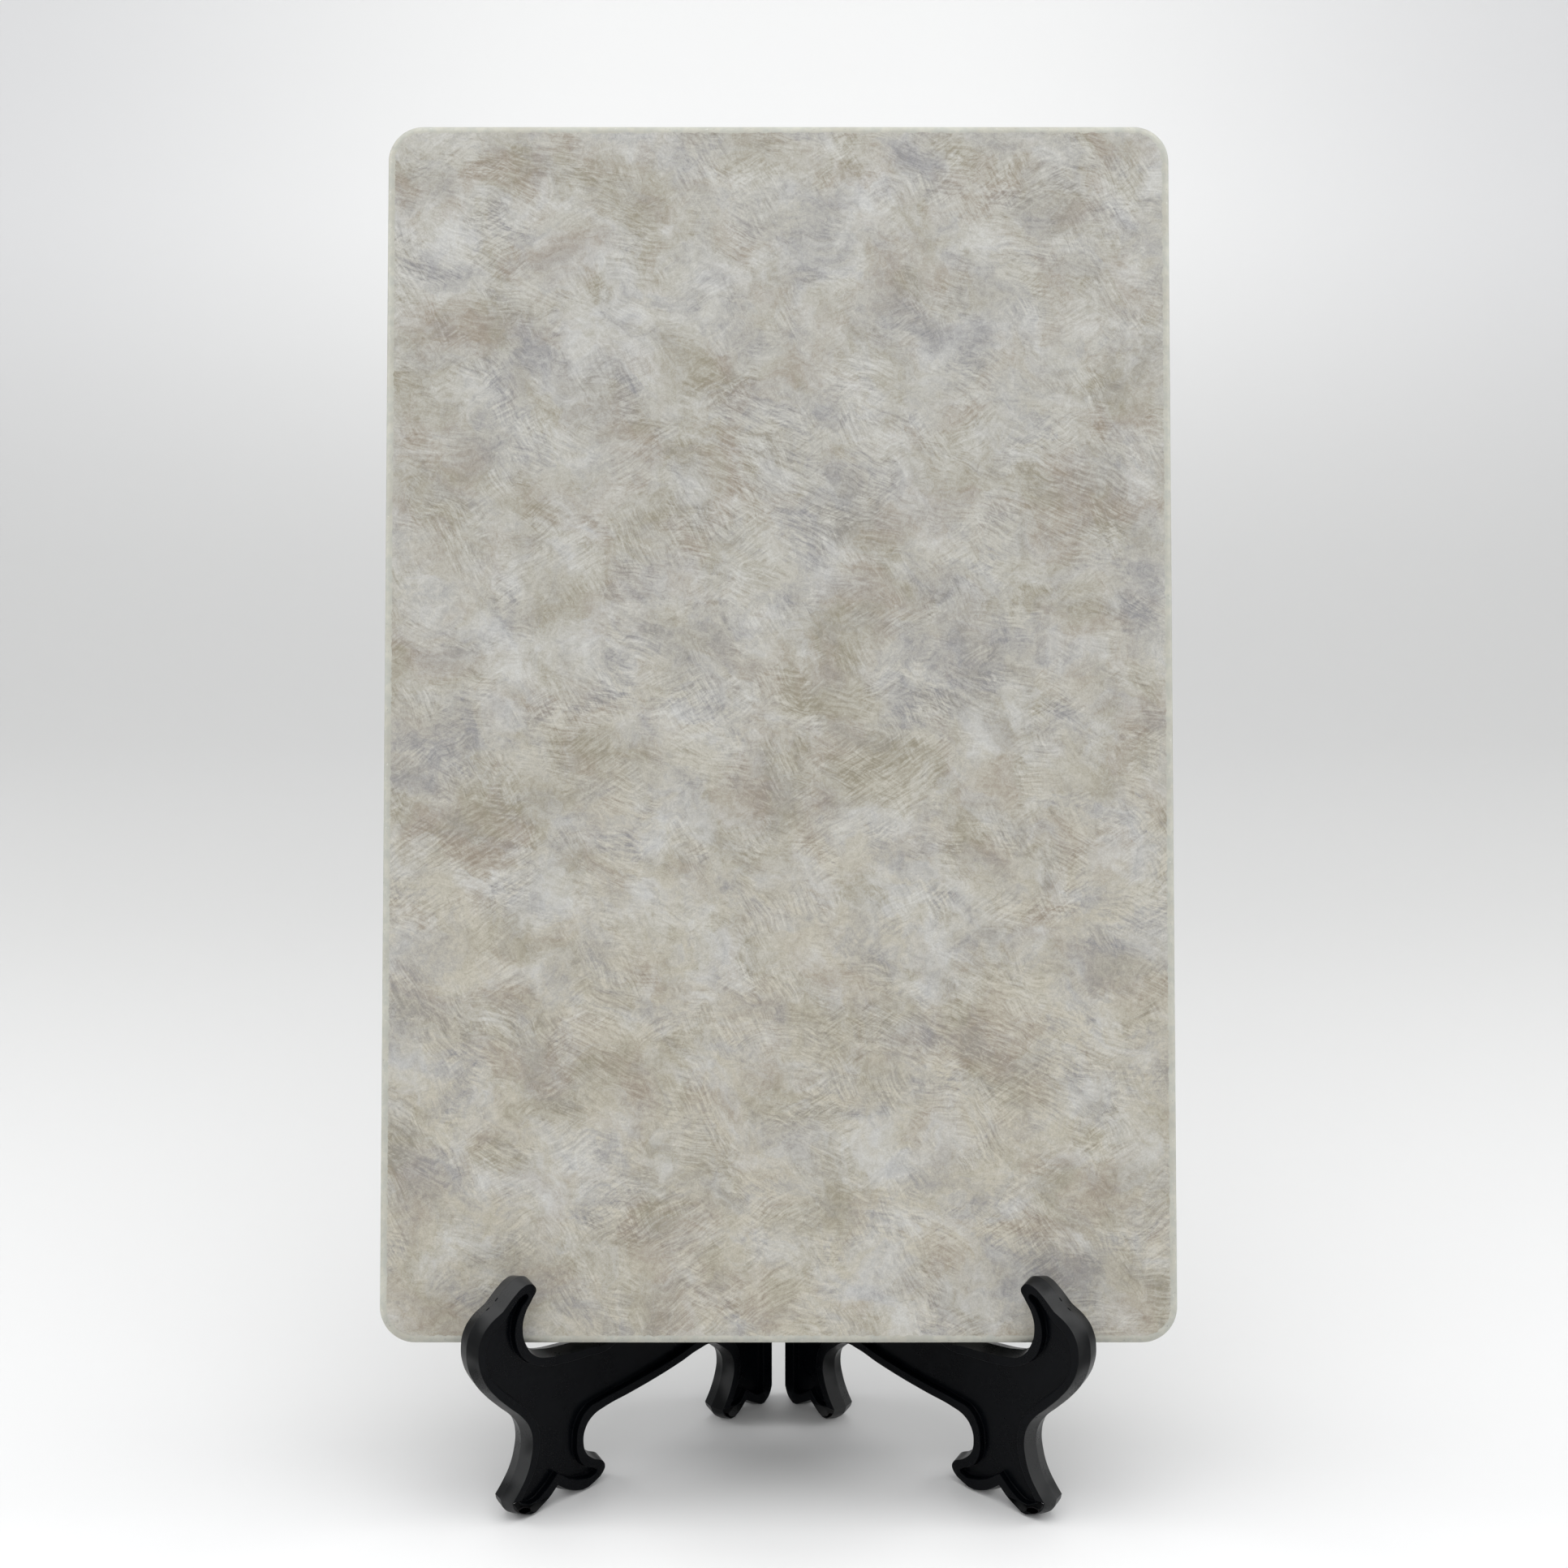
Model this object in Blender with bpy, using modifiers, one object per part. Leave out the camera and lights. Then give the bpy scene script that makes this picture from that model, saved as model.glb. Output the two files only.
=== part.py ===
"""A stone slab standing on a folding plastic easel.

Everything is in metres with +Z up.  The floor is z = 0 and the slab faces -Y.  The two arms of the
easel are mirror images that fold about one upright pin.  Each arm is drawn in its own plane: "out"
is the distance from the pin towards the front foot, "up" is the height above the floor.
"""

import math

import bmesh
import bpy
from mathutils import Matrix, Vector

MM = 0.001

# Slab
SLAB_WIDTH = 200 * MM
SLAB_HEIGHT = 309 * MM
SLAB_THICKNESS = 15 * MM
SLAB_CORNER_RADIUS = 9 * MM
SLAB_EDGE_RADIUS = 1.6 * MM
SLAB_LEAN = math.radians(18)
SLAB_LIP_FORWARD = 56.0 * MM
SLAB_LIP_HEIGHT = 45.0 * MM

# Easel arms
HALF_OPENING = math.radians(45)
ARM_THICKNESS = 7.0 * MM
FACE_GAP = 0.25 * MM
EDGE_SLOPE = 1.0 * MM
RECESS_DEPTH = 1.9 * MM
RECESS_FOOT = 0.4 * MM
CURVE_STEPS = 4

# Hinge
PIN_RADIUS = 1.5 * MM
PIN_BOTTOM = 45 * MM
PIN_TOP = 138 * MM
BORE_RADIUS = 1.8 * MM
BARREL_RADIUS = 3.8 * MM
BARREL_CLEARANCE = 0.35 * MM
END_CLEARANCE = 0.2 * MM
KNUCKLE_LENGTH = 14.5 * MM
LEFT_KNUCKLES = (47 * MM, 106 * MM)
RIGHT_KNUCKLES = (62 * MM, 121 * MM)
WEB_START = 0.55 * MM
WEB_END = 3.1 * MM
LUG_REACH = 8.0 * MM
LUG_BOTTOM = 84 * MM
LUG_HEIGHT = 15 * MM

# The whole object is moved so that its box is centred on the Z axis.
AXIS_BACK = 9.73 * MM

# Outline of the widest section of an arm, at mid thickness: (out, up) in millimetres.  A third
# value of 1 marks a sharp corner; the other points lie on a smooth curve.  The feet are drawn a
# little below the floor, where they are cut flat.
ARM_OUTLINE = (
    # hook, from its tip over the top to the shoulder
    (83.4, 60.9), (84.3, 63.3), (86.5, 64.5), (88.9, 64.3), (91.6, 62.9), (95.6, 59.9, 1),
    # outer side of the hook and the neck
    (100.1, 57.7), (102.9, 54.6), (104.1, 50.0), (103.6, 45.2), (101.6, 40.5),
    (98.6, 36.3), (94.6, 31.9), (90.6, 27.7), (88.5, 24.2), (87.8, 20.5),
    (88.3, 16.9), (89.8, 12.7), (92.2, 9.3), (94.9, 6.4, 1),
    # front toe
    (94.1, 3.7), (91.8, 1.4), (88.2, -0.35, 1), (86.2, -0.35, 1), (83.8, 0.8), (81.0, 2.3),
    (78.9, 4.0, 1),
    # curled toe behind it
    (76.8, 2.3), (74.2, 0.8), (70.8, -0.35, 1), (68.6, -0.35, 1), (66.0, 0.5), (63.4, 1.9),
    (62.0, 4.3), (62.9, 6.7), (66.1, 8.7), (68.4, 11.1), (69.1, 14.2), (68.4, 17.2),
    (66.4, 19.2), (62.5, 20.2),
    # underside of the arch
    (54.0, 20.9), (45.0, 21.8), (36.0, 23.1), (29.5, 24.4), (24.8, 24.5), (21.0, 21.9),
    # rear leg
    (18.3, 18.8), (17.6, 15.4), (18.2, 12.0), (19.8, 8.1), (22.1, 4.5, 1),
    (21.0, 2.0), (18.2, -0.35, 1), (16.2, -0.35, 1), (13.9, 1.0), (11.9, 2.8, 1),
    (9.4, 1.2), (6.6, -0.35, 1), (4.8, -0.35, 1), (2.6, 1.5), (1.2, 4.6, 1),
    # upright rear edge and rounded top
    (1.2, 146.0, 1), (2.6, 149.6), (6.0, 151.0), (9.4, 149.4),
    # straight rest behind the slab, then the ledge under it
    (11.5, 145.4, 1), (58.6, 42.9, 1), (59.5, 40.5), (61.4, 39.6), (65.0, 40.2),
    (73.0, 41.2), (80.0, 42.5), (84.6, 44.4), (87.0, 47.7), (88.0, 51.7), (87.2, 55.5),
    (84.9, 58.6),
)

# Outline of the sunk panel in each face, following the outline of the face 2.4 mm in.
PANEL_OUTLINE = (
    (87.0, 60.7), (88.9, 61.0), (91.2, 59.4), (94.8, 56.2), (98.1, 54.4), (100.0, 52.0),
    (100.7, 48.9), (100.1, 44.6), (97.8, 40.4), (94.5, 36.7), (88.4, 30.2), (85.5, 25.9),
    (84.4, 20.6), (85.0, 16.2), (86.9, 11.2), (89.5, 7.6), (91.1, 5.2, 1), (87.4, 3.6),
    (82.9, 5.4), (78.9, 8.6, 1), (74.6, 5.3), (69.8, 3.5), (67.2, 3.2), (65.8, 4.1), (66.8, 5.3),
    (69.4, 6.7),
    (71.8, 10.2), (72.3, 15.2), (71.1, 19.8), (68.4, 22.6), (64.0, 23.5), (54.0, 24.3),
    (45.0, 25.2), (36.0, 26.5), (29.2, 27.9), (23.6, 28.0), (18.6, 25.0),
    (15.2, 20.8), (14.2, 15.9), (14.8, 11.4), (16.4, 7.4), (18.0, 4.4, 1), (14.8, 4.2),
    (11.9, 7.0, 1), (8.0, 4.3), (5.6, 4.1, 1), (5.6, 140.0, 1), (8.0, 146.5, 1), (55.4, 43.6, 1),
    (56.8, 39.0), (61.0, 36.8), (68.0, 37.3), (76.0, 38.2), (83.2, 40.0),
    (88.4, 43.6), (91.0, 48.2), (91.2, 53.6), (89.2, 57.9),
)

PLASTIC = (0.012, 0.012, 0.014, 1.0)
STONE = (0.46, 0.45, 0.41, 1.0)
STEEL = (0.55, 0.55, 0.56, 1.0)


def clear_scene():
    for old in list(bpy.data.objects):
        bpy.data.objects.remove(old, do_unlink=True)


def new_collection(name, hidden=False):
    made = bpy.data.collections.new(name)
    made.hide_render = hidden
    bpy.context.scene.collection.children.link(made)
    return made


def new_material(name, colour, roughness, metallic):
    made = bpy.data.materials.new(name)
    made.use_nodes = True
    shader = made.node_tree.nodes["Principled BSDF"]
    shader.inputs["Base Color"].default_value = colour
    shader.inputs["Roughness"].default_value = roughness
    shader.inputs["Metallic"].default_value = metallic
    made.diffuse_color = colour
    return made


def new_object(name, data, collection):
    made = bpy.data.objects.new(name, data)
    collection.objects.link(made)
    return made


def hide_cutter(obj):
    obj.hide_render = True
    obj.display_type = "WIRE"


def outline_curve(name, points):
    """A closed flat Bezier curve through the points, with straight handles at the corners."""
    curve = bpy.data.curves.new(name, "CURVE")
    curve.dimensions = "2D"
    curve.fill_mode = "NONE"
    curve.resolution_u = CURVE_STEPS
    spline = curve.splines.new("BEZIER")
    spline.bezier_points.add(len(points) - 1)
    spline.use_cyclic_u = True
    for knot, point in zip(spline.bezier_points, points):
        knot.co = (point[0] * MM, point[1] * MM, 0.0)
        kind = "VECTOR" if len(point) == 3 else "AUTO"
        knot.handle_left_type = kind
        knot.handle_right_type = kind
    return curve


def mesh_from_curve(name, curve):
    """The curve as a mesh: evaluated, welded and with its straight runs left as single edges."""
    holder = bpy.data.objects.new(name + "_curve", curve)
    bpy.context.scene.collection.objects.link(holder)
    graph = bpy.context.evaluated_depsgraph_get()
    mesh = bpy.data.meshes.new_from_object(holder.evaluated_get(graph))
    bpy.data.objects.remove(holder, do_unlink=True)
    mesh.name = name
    shape = bmesh.new()
    shape.from_mesh(mesh)
    bmesh.ops.remove_doubles(shape, verts=shape.verts, dist=0.02 * MM)
    straight = [vert for vert in shape.verts if is_straight(vert)]
    bmesh.ops.dissolve_verts(shape, verts=straight)
    shape.to_mesh(mesh)
    shape.free()
    return mesh


def is_straight(vert):
    if len(vert.link_edges) != 2:
        return False
    first, second = (edge.other_vert(vert).co - vert.co for edge in vert.link_edges)
    return math.degrees(first.angle(second)) > 179.6


def arm_body(name):
    """Half of an arm above its mid plane: the sloped edge rises to the flat face."""
    mesh = mesh_from_curve(name, outline_curve(name, ARM_OUTLINE))
    shape = bmesh.new()
    shape.from_mesh(mesh)
    bmesh.ops.contextual_create(shape, geom=shape.edges[:])
    bmesh.ops.recalc_face_normals(shape, faces=shape.faces[:])
    face = shape.faces[0]
    if face.normal.z < 0:
        bmesh.ops.reverse_faces(shape, faces=[face])
    bmesh.ops.inset_region(
        shape,
        faces=[face],
        thickness=EDGE_SLOPE,
        depth=ARM_THICKNESS / 2,
        use_boundary=True,
        use_even_offset=True,
    )
    shape.to_mesh(mesh)
    shape.free()
    return mesh


def panel_cutter(name, cutters, height):
    """A prism of the panel outline whose lower rim is sloped, standing on the floor of the recess."""
    curve = outline_curve(name, PANEL_OUTLINE)
    curve.fill_mode = "BOTH"
    curve.extrude = 4 * MM
    curve.bevel_depth = RECESS_FOOT
    curve.bevel_resolution = 0
    curve.offset = -RECESS_FOOT
    mesh = mesh_from_curve(name, curve)
    cutter = new_object(name, mesh, cutters)
    cutter.location = (0.0, 0.0, height)
    hide_cutter(cutter)
    return cutter


def add_modifier(obj, name, kind, **settings):
    modifier = obj.modifiers.new(name, kind)
    for key, value in settings.items():
        setattr(modifier, key, value)
    return modifier


def cylinder(name, radius, bottom, length, collection, sides=32):
    """An upright cylinder about the pin axis."""
    mesh = bpy.data.meshes.new(name)
    shape = bmesh.new()
    bmesh.ops.create_cone(
        shape,
        cap_ends=True,
        segments=sides,
        radius1=radius,
        radius2=radius,
        depth=length,
        matrix=Matrix.Translation((0.0, 0.0, bottom + length / 2)),
    )
    shape.to_mesh(mesh)
    shape.free()
    return new_object(name, mesh, collection)


def block(name, low, high, turn, collection):
    """A box between two corners, turned about the pin axis."""
    mesh = bpy.data.meshes.new(name)
    shape = bmesh.new()
    bmesh.ops.create_cube(shape, size=1.0)
    size = Vector(high) - Vector(low)
    middle = (Vector(high) + Vector(low)) / 2
    place = Matrix.Translation(middle) @ Matrix.Diagonal((*size, 1.0))
    bmesh.ops.transform(shape, matrix=Matrix.Rotation(turn, 4, "Z") @ place, verts=shape.verts[:])
    shape.to_mesh(mesh)
    shape.free()
    return new_object(name, mesh, collection)


def boolean(obj, other, operation):
    add_modifier(
        obj,
        operation.title() + "_" + other.name,
        "BOOLEAN",
        operation=operation,
        object=other,
        solver="EXACT",
    )


def apply_modifiers(obj):
    graph = bpy.context.evaluated_depsgraph_get()
    mesh = bpy.data.meshes.new_from_object(obj.evaluated_get(graph))
    obj.modifiers.clear()
    obj.data = mesh


def shade_round(obj, angle=30):
    """Smooth shading with an edge kept sharp where its faces meet at more than the angle."""
    shape = bmesh.new()
    shape.from_mesh(obj.data)
    for face in shape.faces:
        face.smooth = True
    for edge in shape.edges:
        edge.smooth = len(edge.link_faces) == 2 and edge.calc_face_angle() < math.radians(angle)
    shape.to_mesh(obj.data)
    shape.free()


def make_arm(name, side, own_knuckles, other_knuckles, parts, cutters):
    """One arm, origin on the pin axis at floor level.  side is -1 for the left arm, 1 for the right."""
    arm = new_object(name, arm_body(name), parts)
    add_modifier(
        arm,
        "Both_faces",
        "MIRROR",
        use_axis=(False, False, True),
        merge_threshold=0.00001,
    )
    half = ARM_THICKNESS / 2
    for face, turn in ((1, 0.0), (-1, math.pi)):
        reach = 4 * MM + RECESS_FOOT
        cutter = panel_cutter(f"{name}_panel_{turn:.0f}", cutters, face * (half - RECESS_DEPTH + reach))
        boolean(arm, cutter, "DIFFERENCE")
    apply_modifiers(arm)

    # From the drawing plane into place: x of the drawing runs outwards, y of it is up, and the
    # inner face, on the -normal side, lies just outside the plane through the pin axis.
    outward = Vector((side * math.sin(HALF_OPENING), -math.cos(HALF_OPENING), 0.0))
    normal = Vector((side * math.cos(HALF_OPENING), math.sin(HALF_OPENING), 0.0))
    shift = normal * (FACE_GAP + half)
    place = Matrix(
        (
            (outward.x, 0.0, normal.x, shift.x),
            (outward.y, 0.0, normal.y, shift.y),
            (0.0, 1.0, 0.0, 0.0),
            (0.0, 0.0, 0.0, 1.0),
        )
    )
    arm.data.transform(place)
    if place.determinant() < 0:
        arm.data.flip_normals()

    # The four feet are flat where they stand on the floor.
    turn = -math.pi / 2 + side * HALF_OPENING
    ground = block(
        f"{name}_ground",
        (-10 * MM, -20 * MM, -6 * MM),
        (120 * MM, 20 * MM, 0.0),
        turn,
        cutters,
    )
    hide_cutter(ground)
    boolean(arm, ground, "DIFFERENCE")

    # Knuckles of this arm, and room for those of the other arm.
    for number, bottom in enumerate(other_knuckles):
        cutter = cylinder(
            f"{name}_room_{number}",
            BARREL_RADIUS + BARREL_CLEARANCE,
            bottom - END_CLEARANCE,
            KNUCKLE_LENGTH + 2 * END_CLEARANCE,
            cutters,
            sides=48,
        )
        hide_cutter(cutter)
        boolean(arm, cutter, "DIFFERENCE")
    for number, bottom in enumerate(own_knuckles):
        barrel = cylinder(f"{name}_barrel_{number}", BARREL_RADIUS, bottom, KNUCKLE_LENGTH, cutters)
        hide_cutter(barrel)
        boolean(arm, barrel, "UNION")
        low, high = sorted((side * WEB_START, side * WEB_END))
        web = block(
            f"{name}_web_{number}",
            (0.9 * MM, low, bottom + 0.6 * MM),
            (7.0 * MM, high, bottom + KNUCKLE_LENGTH - 0.6 * MM),
            turn,
            cutters,
        )
        hide_cutter(web)
        boolean(arm, web, "UNION")

    # Lug behind the pin that meets the other arm's lug at full opening, and its root in the arm.
    for label, near, far, front, back, inset in (
        ("root", 2.4 * MM, 6.0 * MM, -1.4 * MM, 4.0 * MM, 0.5 * MM),
        ("lug", 0.15 * MM, 6.8 * MM, 2.3 * MM, LUG_REACH, 0.0),
    ):
        low, high = sorted((side * near, side * far))
        lug = block(
            f"{name}_{label}",
            (low, front, LUG_BOTTOM + inset),
            (high, back, LUG_BOTTOM + LUG_HEIGHT - inset),
            0.0,
            cutters,
        )
        hide_cutter(lug)
        boolean(arm, lug, "UNION")
    bore = cylinder(f"{name}_bore", BORE_RADIUS, 20 * MM, 140 * MM, cutters, sides=32)
    hide_cutter(bore)
    boolean(arm, bore, "DIFFERENCE")
    apply_modifiers(arm)
    shade_round(arm)
    return arm


def make_slab(parts):
    """The slab, origin at the middle of its lower front edge, standing along its own lean."""
    mesh = bpy.data.meshes.new("slab")
    shape = bmesh.new()
    bmesh.ops.create_cube(shape, size=1.0)
    place = Matrix.Translation((0.0, SLAB_THICKNESS / 2, SLAB_HEIGHT / 2)) @ Matrix.Diagonal(
        (SLAB_WIDTH, SLAB_THICKNESS, SLAB_HEIGHT, 1.0)
    )
    bmesh.ops.transform(shape, matrix=place, verts=shape.verts[:])
    through = [edge for edge in shape.edges if abs(edge.verts[0].co.y - edge.verts[1].co.y) > 0.001]
    bmesh.ops.bevel(
        shape,
        geom=through,
        offset=SLAB_CORNER_RADIUS,
        segments=8,
        profile=0.5,
        affect="EDGES",
        clamp_overlap=True,
    )
    shape.to_mesh(mesh)
    shape.free()
    slab = new_object("slab", mesh, parts)
    add_modifier(
        slab,
        "Eased_edges",
        "BEVEL",
        width=SLAB_EDGE_RADIUS,
        segments=3,
        limit_method="ANGLE",
        angle_limit=math.radians(60),
    )
    apply_modifiers(slab)
    shade_round(slab, 40)
    slab.rotation_euler = (-SLAB_LEAN, 0.0, 0.0)
    slab.location = (0.0, AXIS_BACK - SLAB_LIP_FORWARD, SLAB_LIP_HEIGHT)
    return slab


def main():
    clear_scene()
    parts = new_collection("slab_on_easel")
    cutters = new_collection("cutters", hidden=True)
    plastic = new_material("black_plastic", PLASTIC, 0.42, 0.0)
    stone = new_material("pale_stone", STONE, 0.55, 0.0)
    steel = new_material("pin_steel", STEEL, 0.3, 1.0)

    left = make_arm("left_arm", -1, LEFT_KNUCKLES, RIGHT_KNUCKLES, parts, cutters)
    right = make_arm("right_arm", 1, RIGHT_KNUCKLES, LEFT_KNUCKLES, parts, cutters)
    pin = cylinder("hinge_pin", PIN_RADIUS, PIN_BOTTOM, PIN_TOP - PIN_BOTTOM, parts, sides=24)
    shade_round(pin)
    slab = make_slab(parts)
    for obj, material in ((left, plastic), (right, plastic), (pin, steel), (slab, stone)):
        obj.data.materials.clear()
        obj.data.materials.append(material)
    for obj in (left, right, pin):
        obj.location = (0.0, AXIS_BACK, 0.0)


main()
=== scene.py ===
"""The looks of a patterned stone slab standing on a folding black plastic easel.

Metres, +Z up, floor at z = 0, slab facing -Y.  The arms are drawn in their own plane in millimetres:
"out" is the distance from the hinge pin towards the front foot, "up" the height above the floor.
"""

import math

import bmesh
import bpy
import numpy as np
from mathutils import Matrix, Vector


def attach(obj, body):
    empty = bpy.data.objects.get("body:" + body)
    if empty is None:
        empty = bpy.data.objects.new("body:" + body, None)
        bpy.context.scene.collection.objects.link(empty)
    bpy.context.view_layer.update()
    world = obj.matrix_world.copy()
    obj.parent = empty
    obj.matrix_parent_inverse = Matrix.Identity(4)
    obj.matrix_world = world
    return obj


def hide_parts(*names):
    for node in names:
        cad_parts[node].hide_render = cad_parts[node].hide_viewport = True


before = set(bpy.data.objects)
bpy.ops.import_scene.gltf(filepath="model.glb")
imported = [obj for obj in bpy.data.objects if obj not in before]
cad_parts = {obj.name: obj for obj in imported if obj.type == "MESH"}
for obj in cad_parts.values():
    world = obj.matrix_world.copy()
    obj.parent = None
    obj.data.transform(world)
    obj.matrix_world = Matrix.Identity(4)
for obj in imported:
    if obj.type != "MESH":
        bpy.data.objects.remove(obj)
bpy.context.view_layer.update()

MM = 0.001

# Slab
SLAB_WIDTH = 200.0
SLAB_HEIGHT = 309.0
SLAB_THICKNESS = 15.0
SLAB_CORNER_RADIUS = 9.0
SLAB_EDGE_RADIUS = 1.6
SLAB_LEAN = math.radians(18)
SLAB_LIP = Vector((0.0, (9.73 - 56.0) * MM, 45.0 * MM))

# Easel
AXIS = Vector((0.0, 9.73 * MM, 0.0))
HALF_OPENING = math.radians(45)
HALF_ARM = 3.5
FACE_GAP = 0.25
CURVE_STEPS = 9
PIN_RADIUS = 1.5
PIN_BOTTOM = 45.0
PIN_TOP = 138.0
BORE_RADIUS = 1.8
BARREL_RADIUS = 3.8
BARREL_CLEARANCE = 0.35
END_CLEARANCE = 0.2
KNUCKLE_LENGTH = 14.5
BARREL_EASE = 0.35
LEFT_KNUCKLES = (47.0, 106.0)
RIGHT_KNUCKLES = (62.0, 121.0)
LUG_BOTTOM = 84.0
LUG_HEIGHT = 15.0
# The web that ties a knuckle to its arm: along the arm, across it, and short of the knuckle's ends.
WEB_ALONG = (0.9, 7.0)
WEB_ACROSS = (0.55, 3.1)
WEB_INSET = 0.6
# Blocks of a stop lug: name, two distances to the side, two to the back, inset of the ends, ease.
LUG_BLOCKS = (
    ("root", 2.4, 6.0, -1.4, 4.0, 0.5, 0.0),
    ("lug", 0.15, 6.8, 2.3, 8.0, 0.0, 0.5),
)
# Corners of the block below the floor that levels the undersides of the feet.
GROUND_BLOCK = ((-10, -20, -6), (120, 20, 0.0))
BORE_SPAN = (20.0, 140.0)
SHARP_ARM, SHARP_SLAB, SHARP_PIN = 30, 50, 35

# Light, camera
MIDDLE = Vector((0.0, 0.0, 0.15))
# Area lights: name, place, size, power.
LIGHTS = (
    ("overhead", (0.0, -0.2, 1.6), (1.9, 1.5), 18.5),
    ("left", (-1.3, -0.2, 0.7), (0.9, 1.2), 4.5),
    ("right", (1.3, -0.2, 0.7), (0.9, 1.2), 4.5),
    ("front", (0.0, -1.6, 0.85), (1.6, 1.0), 5.5),
    ("left_kicker", (-0.87, 0.13, 0.62), (0.3, 0.3), 1.5),
    ("right_kicker", (0.87, 0.13, 0.62), (0.3, 0.3), 1.5),
)
WORLD_COLOUR = (0.97, 0.985, 1.0, 1.0)
WORLD_STRENGTH = 0.45
CAMERA_PLACE = (0.0, -0.6571, 0.3535)
CAMERA_PITCH = math.radians(75.0)
CAMERA_LENS = 61.49
CAMERA_SENSOR = 36.0
CAMERA_SHIFT = 0.0035

# Outline of an arm at mid thickness and of the sunk panel in its faces: (out, up), with a third
# value of 1 at a sharp corner.
ARM_OUTLINE = (
    (83.4, 60.9), (84.3, 63.3), (86.5, 64.5), (88.9, 64.3), (91.6, 62.9), (95.6, 59.9, 1),
    (100.1, 57.7), (102.9, 54.6), (104.1, 50.0), (103.6, 45.2), (101.6, 40.5),
    (98.6, 36.3), (94.6, 31.9), (90.6, 27.7), (88.5, 24.2), (87.8, 20.5),
    (88.3, 16.9), (89.8, 12.7), (92.2, 9.3), (94.9, 6.4, 1),
    (94.1, 3.7), (91.8, 1.4), (88.2, -0.35, 1), (86.2, -0.35, 1), (83.8, 0.8), (81.0, 2.3),
    (78.9, 4.0, 1),
    (76.8, 2.3), (74.2, 0.8), (70.8, -0.35, 1), (68.6, -0.35, 1), (66.0, 0.5), (63.4, 1.9),
    (62.0, 4.3), (62.9, 6.7), (66.1, 8.7), (68.4, 11.1), (69.1, 14.2), (68.4, 17.2),
    (66.4, 19.2), (62.5, 20.2),
    (54.0, 20.9), (45.0, 21.8), (36.0, 23.1), (29.5, 24.4), (24.8, 24.5), (21.0, 21.9),
    (18.3, 18.8), (17.6, 15.4), (18.2, 12.0), (19.8, 8.1), (22.1, 4.5, 1),
    (21.0, 2.0), (18.2, -0.35, 1), (16.2, -0.35, 1), (13.9, 1.0), (11.9, 2.8, 1),
    (9.4, 1.2), (6.6, -0.35, 1), (4.8, -0.35, 1), (2.6, 1.5), (1.2, 4.6, 1),
    (1.2, 146.0, 1), (2.6, 149.6), (6.0, 151.0), (9.4, 149.4),
    (11.5, 145.4, 1), (58.6, 42.9, 1), (59.5, 40.5), (61.4, 39.6), (65.0, 40.2),
    (73.0, 41.2), (80.0, 42.5), (84.6, 44.4), (87.0, 47.7), (88.0, 51.7), (87.2, 55.5),
    (84.9, 58.6),
)
PANEL_OUTLINE = (
    (87.0, 60.7), (88.9, 61.0), (91.2, 59.4), (94.8, 56.2), (98.1, 54.4), (100.0, 52.0),
    (100.7, 48.9), (100.1, 44.6), (97.8, 40.4), (94.5, 36.7), (88.4, 30.2), (85.5, 25.9),
    (84.4, 20.6), (85.0, 16.2), (86.9, 11.2), (89.5, 7.6), (91.1, 5.2, 1), (87.4, 3.6),
    (82.9, 5.4), (78.9, 8.6, 1), (74.6, 5.3), (69.8, 3.5), (67.2, 3.2), (65.8, 4.1), (66.8, 5.3),
    (69.4, 6.7),
    (71.8, 10.2), (72.3, 15.2), (71.1, 19.8), (68.4, 22.6), (64.0, 23.5), (54.0, 24.3),
    (45.0, 25.2), (36.0, 26.5), (29.2, 27.9), (23.6, 28.0), (18.6, 25.0),
    (15.2, 20.8), (14.2, 15.9), (14.8, 11.4), (16.4, 7.4), (18.0, 4.4, 1), (14.8, 4.2),
    (11.9, 7.0, 1), (8.0, 4.3), (5.6, 4.1, 1), (5.6, 140.0, 1), (8.0, 146.5, 1), (55.4, 43.6, 1),
    (56.8, 39.0), (61.0, 36.8), (68.0, 37.3), (76.0, 38.2), (83.2, 40.0),
    (88.4, 43.6), (91.0, 48.2), (91.2, 53.6), (89.2, 57.9),
)
# Rings of an arm's section, from the ridge at mid thickness to the face: (inset, height).
EDGE_RINGS = (
    (0.02, 0.0), (0.035, 0.09), (0.065, 0.22), (0.5, 1.75), (0.94, 3.27), (0.975, 3.38),
    (1.05, 3.465), (1.17, 3.5),
)
# Rings of the sunk panel, from its lip down to its floor: (growth, height).
PANEL_RINGS = (
    (0.24, 3.5), (0.11, 3.46), (0.03, 3.38), (0.0, 3.24), (-0.03, 1.98), (-0.07, 1.8),
    (-0.16, 1.66), (-0.3, 1.6),
)


# ---------------------------------------------------------------------------------- mesh helpers

def collection(name, hidden=False):
    made = bpy.data.collections.new(name)
    made.hide_render = hidden
    bpy.context.scene.collection.children.link(made)
    return made


PIECES = collection("pieces")
HELPERS = collection("helpers", hidden=True)


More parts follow.
